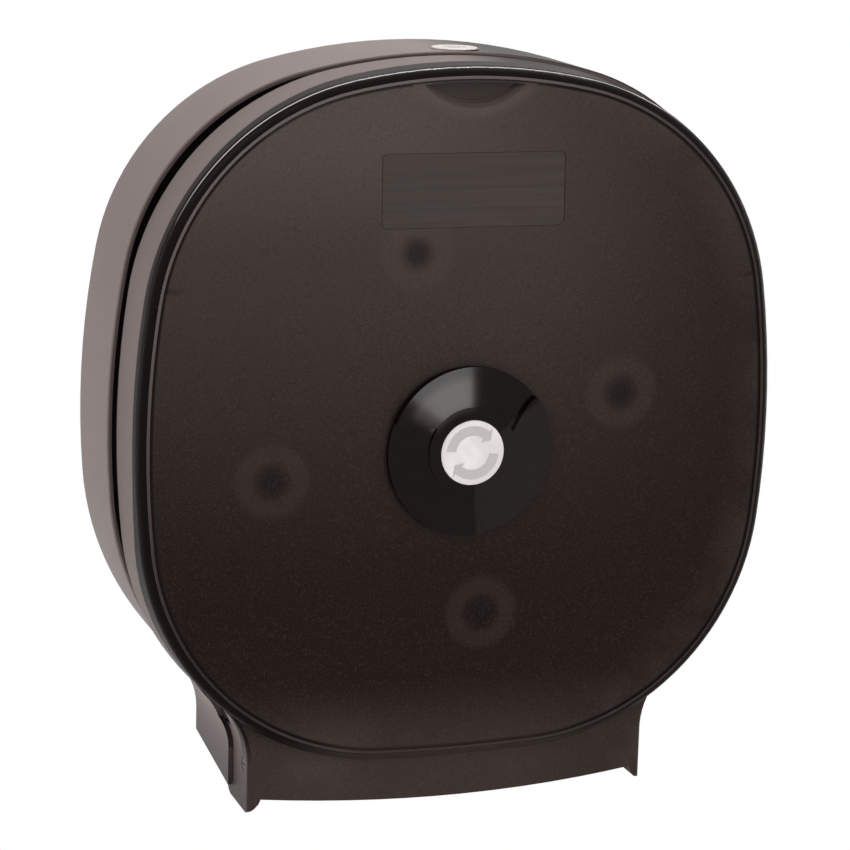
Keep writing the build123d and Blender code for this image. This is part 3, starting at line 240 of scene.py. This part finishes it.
smokedCover = {
    "grain": (1700.0, 0.6, 0.0003),  # scale, strength and depth
    "clouds": (13.0, 4.0, 0.62),
    "front": (0.0, 0.2),  # how far a surface leans forward, for the marks that the hollow side lacks
    "flat": (0.006, 0.02),  # what leans sideways or up by less than this faces straight ahead
    "wallEnd": (0.10, 0.32),  # what leans forward or back by less than this is a wall
    "bodyFade": (-0.178, -0.150),  # the heights where the rim gives way to the apron below
    "light": {  # painted light: what comes through the smoked face from the top, the bottom and the right-hand edge, and a paler top left
        "halfWidth": 0.172,
        "halfHeight": 0.182,
        "middle": 0.012,
        "roundness": 2.6,
        "broad": (5.5, 2.0, 0.5),
        "topRise": (-0.09, 0.17),
        "topTurn": (0.01, 0.16),
        "topFade": 0.72,
        "topLevel": 0.88,
        "topSwing": 0.24,
        "bottomFall": (0.118, 0.176),
        "bottomTurn": (0.02, 0.12),
        "bottomFade": 0.45,
        "bottomShare": 0.7,
        "edgeReach": (0.80, 1.0),
        "edgeClouds": (0.34, 0.66),
        "edgeTurn": (0.02, 0.13),
        "edgeShare": 0.42,
        "cornerReach": (0.72, 1.0),
        "cornerClouds": (0.40, 0.68),
        "cornerFall": (0.03, 0.13),
        "cornerShare": 0.30,
        "crownRise": (0.10, 0.175),
        "crownTurn": (-0.05, 0.06),
        "crownShare": 0.5,
    },
    "rounds": {  # painted shade where the four spindle ends show through, each with a faint ring of painted light, as seen from the left front
        "middles": [(-0.0304, 0.1047), (0.0854, 0.0267), (0.0102, -0.0897), (-0.1057, -0.0120)],
        "core": (0.0030, 0.0105),
        "coreShare": 0.72,
        "ringStart": (0.0080, 0.0125),
        "ringEnd": (0.0165, 0.0225),
        "ringShare": 0.11,
    },
    "ribs": {  # short dark lines at the face's edge
        "heights": [0.088, -0.108],
        "breadth": (0.0004, 0.0022),
        "reach": (0.148, 0.162),
        "share": 0.6,
    },
    "specks": {
        "pattern": (900.0, 2.0, 0.8),
        "pale": (0.5, 0.72),
        "paleShare": 0.16,
        "dark": (0.28, 0.5),
        "darkShare": 0.3,
    },
    "scoop": {  # the hollow for a finger in the top edge, cut round from a point above it, with painted shade on its floor and a crescent of painted highlight on its lower edge
        "height": 0.219,
        "reach": (0.0440, 0.0446),
        "top": (0.1920, 0.1925),
        "bow": 1.6,
        "floor": (0.0350, 0.0395),
        "floorShare": 0.45,
        "ends": (0.1860, 0.1915),
        "crescentStart": (0.0375, 0.0410),
        "crescentEnd": (0.0420, 0.0480),
        "crescentShare": 0.4,
    },
    # painted dark reflection: the rim's round is painted near black
    "rim": {
        "start": (0.1043, 0.1062),
        "end": (0.11012, 0.11022),
        "least": 0.0055,  # the painted dark reflection runs this far back into the wall on the left
        "turn": 0.0095,  # and further by up to four times this on the right
        "fall": (0.0, 0.11),
        "low": 0.012,  # and by this low down
        "skirtLean": (0.88, 0.92),  # what faces the front but lies behind the rim is the skirt
        "skirtDepth": (0.1088, 0.1092),
        "beadDepth": 0.0004,  # on the bead the painted dark ends this much further forward
    },
    "line": {  # painted highlight: the rim's round catches the light in one thin line along the upper left
        "lean": -0.5,
        "breadth": (0.02, 0.075),
        "rise": (0.30, 0.62),
        "turn": (0.35, 0.6),
        "share": 0.9,
    },
    "bead": {  # painted highlight: the bead round the face catches the light too, but less
        "crestStart": (0.1104, 0.1105),
        "crestEnd": (0.1107, 0.1108),
        "rise": (-0.15, 0.12),
        "turn": (0.0, 0.15),
        "share": 0.38,
        "least": 0.06,
    },
    "finish": {
        "rough": 0.44,
        "grainRough": 0.16,
        "cloudRough": 0.06,
        "shine": 0.06,
        "ior": 1.49,
        "coatRise": (0.2, 0.8),
        "coatShare": 0.03,
        "coatLeast": 0.02,
        "coatRough": 0.05,
        "coatIor": 1.5,
    },
}


# paints light onto the face: paler at the top, the bottom and the right-hand edge, and paler still at the
# top left
def lightThrough(sheet, place, clouds):
    look = smokedCover["light"]
    x, _, z = place
    across = (abs(x) / look["halfWidth"]) ** look["roundness"]
    upright = (abs(z - look["middle"]) / look["halfHeight"]) ** look["roundness"]
    reach = (across + upright).root()  # 1 at the face's edge
    top = z.ramp(*look["topRise"]) * (1 - x.ramp(*look["topTurn"]) * look["topFade"])
    top = top * (look["topLevel"] + sheet.noise(*look["broad"]) * look["topSwing"])
    bottom = (-z).ramp(*look["bottomFall"]) * (1 - x.ramp(*look["bottomTurn"]) * look["bottomFade"])
    edge = reach.ramp(*look["edgeReach"]) * clouds.ramp(*look["edgeClouds"]) * x.ramp(*look["edgeTurn"])
    corner = reach.ramp(*look["cornerReach"]) * clouds.ramp(*look["cornerClouds"])
    corner = corner * (-z).ramp(*look["cornerFall"])
    pale = top + bottom * look["bottomShare"] + edge * look["edgeShare"] + corner * look["cornerShare"]
    colour = sheet.mix(pale.low(1.0), colours["smoke"], colours["smokeLitThrough"])
    crown = z.ramp(*look["crownRise"]) * (1 - x.ramp(*look["crownTurn"]))
    return sheet.mix(crown * look["crownShare"], colour, colours["smokeCrown"])


# paints shade where the spindle ends show through the cover, with a faint paler ring of painted light round
# each
def spindleRounds(sheet, place, front, colour):
    look = smokedCover["rounds"]
    x, _, z = place
    for middleX, middleZ in look["middles"]:
        away = ((x - middleX) ** 2 + (z - middleZ) ** 2).root()
        ring = away.ramp(*look["ringStart"]) * (1 - away.ramp(*look["ringEnd"])) * front
        colour = sheet.mix(ring * look["ringShare"], colour, colours["smokeCrown"])
        core = (1 - away.ramp(*look["core"])) * front
        colour = sheet.mix(core * look["coreShare"], colour, colours["smokeDark"])
    return colour


def edgeRibs(sheet, place, colour):
    look = smokedCover["ribs"]
    x, _, z = place
    for height in look["heights"]:
        rib = (1 - abs(z - height).ramp(*look["breadth"])) * abs(x).ramp(*look["reach"])
        colour = sheet.mix(rib * look["share"], colour, colours["smokeDark"])
    return colour


def faceSpecks(sheet, colour):
    look = smokedCover["specks"]
    speckle = sheet.noise(*look["pattern"])
    colour = sheet.mix(speckle.ramp(*look["pale"]) * look["paleShare"], colour, colours["smokeCrown"])
    dark = (1 - speckle.ramp(*look["dark"])) * look["darkShare"]
    return sheet.mix(dark, colour, colours["smokeDark"])


def fingerScoop(sheet, place, front, colour):  # gives back the scoop's own mask too
    look = smokedCover["scoop"]
    x, _, z = place
    away = (x ** 2 + (z - look["height"]) ** 2).root()
    above = (z + x ** 2 * look["bow"]).ramp(*look["top"])
    scoop = (1 - away.ramp(*look["reach"])) * (1 - above)
    # painted shade on the scoop's floor
    floor = scoop * (1 - away.ramp(*look["floor"]))
    colour = sheet.mix(floor * look["floorShare"], colour, colours["smokeDark"])
    # painted highlight in a crescent round the scoop's lower edge
    below = (1 - z.ramp(*look["ends"])) * front
    crescent = away.ramp(*look["crescentStart"]) * (1 - away.ramp(*look["crescentEnd"])) * below
    return scoop, sheet.mix(crescent * look["crescentShare"], colour, colours["smokeCrown"])


# the mask of the rim's painted dark reflection, which also sets the rim's coat
def rimMask(place, lean, flat, body, scoop):
    look = smokedCover["rim"]
    _, y, z = place
    leanX, leanY, _ = lean
    depth = -y
    back = (leanX + 1) ** 2 * look["turn"] + (-z).ramp(*look["fall"]) * look["low"] + look["least"]
    behind = 1 - (depth - flat * look["beadDepth"]).ramp(*look["end"])
    skirt = abs(leanY).ramp(*look["skirtLean"]) * (1 - depth.ramp(*look["skirtDepth"]))
    return (depth + back).ramp(*look["start"]) * behind * body * (1 - scoop) * (1 - skirt)


# paints a thin highlight along the rim's upper left
def rimLine(sheet, lean, rim, colour):
    look = smokedCover["line"]
    leanX, leanY, leanZ = lean
    line = 1 - abs(leanY - look["lean"]).ramp(*look["breadth"])
    line = line * leanZ.ramp(*look["rise"]) * (1 - leanX.ramp(*look["turn"])) * rim
    return sheet.mix(line * look["share"], colour, colours["rimLineHighlight"])


# paints a highlight on the bead's crest, strongest at the upper left
def faceBead(sheet, place, flat, body, scoop, colour):
    look = smokedCover["bead"]
    x, y, z = place
    depth = -y
    crest = flat * depth.ramp(*look["crestStart"]) * (1 - depth.ramp(*look["crestEnd"]))
    lit = z.ramp(*look["rise"]) * (1 - x.ramp(*look["turn"])) * look["share"] + look["least"]
    return sheet.mix(crest * lit * body * (1 - scoop), colour, colours["beadHighlight"])


def coverPlastic():  # smoked plastic with painted light and shade: dark over the hollow inside, painted paler where light comes through
    sheet = newSheet("smokedCover")
    place = sheet.axes(sheet.where)
    lean = sheet.axes(sheet.facing)
    z = place[2]
    leanX, leanY, leanZ = lean
    fine = grain(sheet, *smokedCover["grain"])
    clouds = sheet.noise(*smokedCover["clouds"])
    front = (-leanY).ramp(*smokedCover["front"])
    body = z.ramp(*smokedCover["bodyFade"])
    flat = 1 - (leanX ** 2 + leanZ ** 2).root().ramp(*smokedCover["flat"])
    wall = 1 - abs(leanY).ramp(*smokedCover["wallEnd"])
    colour = lightThrough(sheet, place, clouds)
    colour = spindleRounds(sheet, place, front, colour)
    colour = edgeRibs(sheet, place, colour)
    colour = faceSpecks(sheet, colour)
    scoop, colour = fingerScoop(sheet, place, front, colour)
    # the walls get painted light from the left and painted shade to the right
    colour = sheet.mix(wall, colour, shadedWall(sheet, colours["smokeWallLit"], place, lean))
    rim = rimMask(place, lean, flat, body, scoop)
    # painted dark reflection on the rim
    colour = sheet.mix(rim, colour, colours["smokeRimDarkReflection"])
    colour = rimLine(sheet, lean, rim, colour)
    colour = faceBead(sheet, place, flat, body, scoop, colour)
    look = smokedCover["finish"]
    sheet.set(
        Base_Color=colour,
        Roughness=look["rough"] + fine.swing() * look["grainRough"] + clouds * look["cloudRough"],
        Specular_IOR_Level=look["shine"],
        IOR=look["ior"],
        Coat_Weight=rim * (leanZ.ramp(*look["coatRise"]) * look["coatShare"] + look["coatLeast"]),
        Coat_Roughness=look["coatRough"],
        Coat_IOR=look["coatIor"])
    return sheet.owner


smokedHousing = {
    "grain": (1900.0, 0.3, 0.0002),  # scale, strength and depth
    "clouds": (9.0, 3.0, 0.55),
    "cloudStep": (0.3, 0.7),
    "cloudShare": 0.5,
    "cloudDarker": 0.8,
    "rough": 0.42,
    "grainRough": 0.14,
    "cloudRough": 0.05,
    "shine": 0.08,
    "ior": 1.49,
}


def housingPlastic():
    look = smokedHousing
    sheet = newSheet("smokedHousing")
    place = sheet.axes(sheet.where)
    lean = sheet.axes(sheet.facing)
    fine = grain(sheet, *look["grain"])
    clouds = sheet.noise(*look["clouds"])
    dark = tuple(value * look["cloudDarker"] for value in colours["housing"])
    clouded = sheet.mix(clouds.ramp(*look["cloudStep"]) * look["cloudShare"], colours["housing"], dark)
    sheet.set(
        # the walls get painted light from the left and painted shade to the right, low down and inside
        Base_Color=shadedWall(sheet, clouded, place, lean),
        Roughness=look["rough"] + fine.swing() * look["grainRough"] + clouds * look["cloudRough"],
        Specular_IOR_Level=look["shine"],
        IOR=look["ior"])
    return sheet.owner


glossyKnob = {
    "greyMiddle": radians(335),  # painted sheen: the wing from six o'clock to one o'clock is a little greyer
    "greyEdge": (0.47, 0.53),
    "sheenMiddle": radians(118),  # painted sheen: the wing on top shines on its left half
    "sheenEdge": (0.80, 0.97),
    "sheenStart": (0.020, 0.028),
    "sheenEnd": (0.036, 0.043),
    "specks": (700.0, 2.0, 0.5),
    "speckStep": (0.74, 0.78),
    "speckShare": 0.5,
    "speckRough": 0.2,
    "smears": (38.0, 5.0, 0.6),
    "smearStep": (0.45, 0.8),
    "smearRough": 0.06,
    "rough": 0.07,
    "shine": 0.10,
    "ior": 1.5,
    "waves": (26.0, 2.0, 0.4),
    "waveStrength": 0.05,
    "waveDepth": 0.0006,
    "least": 0.001,  # nothing is divided by less than this, at the knob's middle
}


def wingMask(x, z, reach, middle, edge):  # 1 round the angle of a wing's middle, seen from the knob's axis
    return ((x * cos(middle) + z * sin(middle)) / reach).ramp(*edge)


def knobPlastic():
    look = glossyKnob
    sheet = newSheet("knobGloss")
    x, _, z = sheet.axes(sheet.where)
    reach = (x ** 2 + z ** 2).root().high(look["least"])
    grey = wingMask(x, z, reach, look["greyMiddle"], look["greyEdge"])
    colour = sheet.mix(grey, colours["knob"], colours["knobGreySheen"])
    # painted sheen on the top wing's left half
    sheen = wingMask(x, z, reach, look["sheenMiddle"], look["sheenEdge"])
    sheen = sheen * reach.ramp(*look["sheenStart"]) * (1 - reach.ramp(*look["sheenEnd"]))
    colour = sheet.mix(sheen, colour, colours["knobSheen"])
    smear = sheet.noise(*look["smears"]).ramp(*look["smearStep"])
    speck = sheet.noise(*look["specks"]).ramp(*look["speckStep"])
    sheet.set(
        Base_Color=sheet.mix(speck * look["speckShare"], colour, colours["smokeCrown"]),
        Roughness=look["rough"] + smear * look["smearRough"] + speck * look["speckRough"],
        Specular_IOR_Level=look["shine"],
        IOR=look["ior"])
    sheet.bump(sheet.noise(*look["waves"]), look["waveStrength"], look["waveDepth"])
    return sheet.owner


brushed = {  # the lines that a brush or a lathe leaves
    "lines": (420.0, 3.0, 0.65),
    "lineStep": (0.3, 0.7),
    "lineRough": 0.2,
    "lineDepth": 0.00008,
    "blotches": (24.0, 3.0, 0.5),
    "blotchRough": 0.1,
    "lift": 0.003,
}


def brushedMetal(name, colour, rough, along=(1.0, 1.0, 1.0), metal=1.0, depth=0.2, shine=0.5, spread=1.25):
    sheet = newSheet(name)
    lines = sheet.noise(*brushed["lines"], sheet.stretched(*along))
    blotch = sheet.noise(*brushed["blotches"])
    pale = tuple(min(1.0, value * spread + brushed["lift"]) for value in colour)
    sheet.set(
        Base_Color=sheet.mix((lines.ramp(*brushed["lineStep"]) + blotch).swing(), colour, pale),
        Metallic=metal,
        Specular_IOR_Level=shine,
        Roughness=rough + lines.swing() * brushed["lineRough"] + blotch.swing() * brushed["blotchRough"])
    sheet.bump(lines, depth, brushed["lineDepth"])
    return sheet.owner


arrowInk = {
    "spots": (900.0, 2.0, 0.5),
    "paler": 1.12,
    "rough": 0.45,
    "spotRough": 0.1,
}


def printedInk():
    sheet = newSheet("arrowPrint")
    spots = sheet.noise(*arrowInk["spots"])
    pale = tuple(value * arrowInk["paler"] for value in colours["arrow"])
    sheet.set(
        Base_Color=sheet.mix(spots, colours["arrow"], pale),
        Roughness=arrowInk["rough"] + spots * arrowInk["spotRough"])
    return sheet.owner


finishes = {
    "cover": coverPlastic(),
    "housing": housingPlastic(),
    "knob": knobPlastic(),
    "disc": plainPlastic("discWhite", colours["disc"], rough=0.35, scale=1200.0, strength=0.08),
    "arrow": printedInk(),
    "label": brushedMetal(
        "labelBrushed", colours["label"], rough=0.4, along=(0.03, 1.0, 1.0), metal=0.1, depth=0.12,
        shine=0.12, spread=1.7),
    "inner": plainPlastic("innerPlastic", colours["inner"], rough=0.5),
    "natural": plainPlastic("bearingPlastic", colours["natural"], rough=0.42, scale=1300.0, strength=0.12),
    "spindle": plainPlastic("spindlePlastic", colours["spindle"], rough=0.45),
    "zinc": brushedMetal("zincSteel", colours["zinc"], rough=0.34),
    "pin": brushedMetal("pinSteel", colours["inner"], rough=0.4, metal=0.5),
    "lock": brushedMetal(
        "lockSatin", colours["lock"], rough=0.42, along=(0.1, 1.0, 1.0), metal=0.3, depth=0.1, shine=0.3),
}
print("materials made:", len(finishes))

finishOf = {  # the spindles and their caps are spindle plastic, and what isn't named here is zinc
    "front_cover": "cover", "rear_housing": "housing", "label_plate": "label", "knob": "knob",
    "knob_disc": "disc", "arrow_inlays": "arrow", "index_ring": "inner", "carousel_spider": "inner",
    "hub_column": "inner", "knob_bushing": "natural", "hub_bushing": "natural", "drive_dog": "natural",
    "drive_socket": "natural", "axle_washer": "natural", "drag_washers": "natural",
    "detent_block": "natural", "lock_bezel": "lock", "lock_body": "lock", "lock_cylinder": "lock",
    "hinge_pin_left": "pin", "hinge_pin_right": "pin",
}
for name, node in nodes.items():
    fallback = "spindle" if name.startswith(("roll_spindle", "spindle_cap")) else "zinc"
    node.data.materials.clear()
    node.data.materials.append(finishes[finishOf.get(name, fallback)])
print("nodes painted")


studio = {
    "skyStrength": 0.42,
    "floorDrop": 0.42,
    "floorSize": 30,
    "floorColour": 0.80,
    "floorRough": 0.9,
    "floorFade": (0.28, 0.42),  # the floor turns white from here outwards
    "lamps": [
        # name, place, aim, width, height, watts
        ("keyLamp", (-1.2, -1.3, 1.5), (0, 0, 0), 1.1, 1.1, 14),
        ("topStrip", (0.50, 0.42, 1.55), (0, -0.08, 0.1), 1.5, 0.05, 20),
        ("leftStrip", (-1.60, 0.36, -0.25), (0, -0.08, 0), 0.14, 1.7, 10),
        ("rightStrip", (1.60, 0.45, -0.30), (0, -0.08, 0), 0.10, 1.4, 10),
        ("fillLamp", (1.5, -1.6, 0.5), (0, 0, 0), 1.0, 1.2, 3),
        ("glossPanel", (0.5, -1.95, 0.12), (0, -0.12, 0), 0.55, 0.45, 9),
    ],
}


def whiteRays(sheet):  # 1 for the rays that meet the white background
    path = sheet.tree.nodes.new("ShaderNodeLightPath").outputs
    seen, mirrored, through = (
        Wire(sheet, path[key]) for key in ("Is Camera Ray", "Is Glossy Ray", "Is Transmission Ray"))
    return (seen + mirrored + through).low(1.0)


def buildSky(scene):
    scene.world = bpy.data.worlds.new("studioSky")
    sky = Sheet(scene.world)
    dim = studio["skyStrength"]
    sky.set(Color=colours["white"], Strength=whiteRays(sky) * (1 - dim) + dim)


def buildLamps():
    for name, place, aim, width, height, watts in studio["lamps"]:
        bpy.ops.object.light_add(type="AREA", location=place)
        lamp = bpy.context.object
        lamp.name = name
        lamp.rotation_euler = (Vector(aim) - Vector(place)).to_track_quat("-Z", "Y").to_euler()
        lamp.data.shape = "RECTANGLE"
        lamp.data.size = width
        lamp.data.size_y = height
        lamp.data.energy = watts


def buildFloor():
    bpy.ops.mesh.primitive_plane_add(size=studio["floorSize"], location=(0, 0, -studio["floorDrop"]))
    floor = bpy.context.object
    floor.name = "paleFloor"
    paint = newSheet("floorPaint")
    paint.set(
        Base_Color=(studio["floorColour"],) * 3,
        Roughness=studio["floorRough"],
        Specular_IOR_Level=0.0)
    x, y, _ = paint.axes(paint.where)
    far = (x ** 2 + y ** 2).root().ramp(*studio["floorFade"])
    glow = paint.node("ShaderNodeEmission", {}, {"Color": colours["white"], "Strength": 1.0})
    dull = Wire(paint, paint.shader.outputs[0])
    mixed = paint.node("ShaderNodeMixShader", {}, {0: whiteRays(paint) * far, 1: dull, 2: glow})
    paint.put(paint.tree.nodes["Material Output"].inputs["Surface"], mixed)
    floor.data.materials.append(paint.owner)


shot = {  # the photograph's camera
    "yaw": radians(19.77),
    "pitch": radians(13.29),
    "roll": radians(1.72),
    "target": (0, -0.110, 0),
    "distance": 1.5516,
    "imageWidth": 850.0,  # pixels, as are the next three
    "focus": 2957.0,
    "right": 39.74,
    "down": 22.41,
    "sensor": 36.0,  # millimetres
    "clip": (0.05, 50),
}


def placeCamera(scene):
    yaw, pitch, roll = (shot[key] for key in ("yaw", "pitch", "roll"))
    ahead = Vector((sin(yaw) * cos(pitch), cos(yaw) * cos(pitch), -sin(pitch)))
    level = Vector((cos(yaw), -sin(yaw), 0))
    upright = level.cross(ahead)
    across = cos(roll) * level + sin(roll) * upright
    up = cos(roll) * upright - sin(roll) * level
    bpy.ops.object.camera_add()
    camera = bpy.context.object
    camera.name = "photoCamera"
    turn = Matrix((across, up, -ahead)).transposed().to_4x4()
    camera.matrix_world = Matrix.Translation(Vector(shot["target"]) - ahead * shot["distance"]) @ turn
    camera.data.sensor_width = shot["sensor"]
    camera.data.lens = shot["focus"] * shot["sensor"] / shot["imageWidth"]
    camera.data.shift_x = -shot["right"] / shot["imageWidth"]
    camera.data.shift_y = shot["down"] / shot["imageWidth"]
    camera.data.clip_start, camera.data.clip_end = shot["clip"]
    scene.camera = camera


scene = bpy.context.scene
scene.view_settings.view_transform = "Standard"
buildSky(scene)
buildLamps()
buildFloor()
print("studio ready")
placeCamera(scene)
print("camera placed")
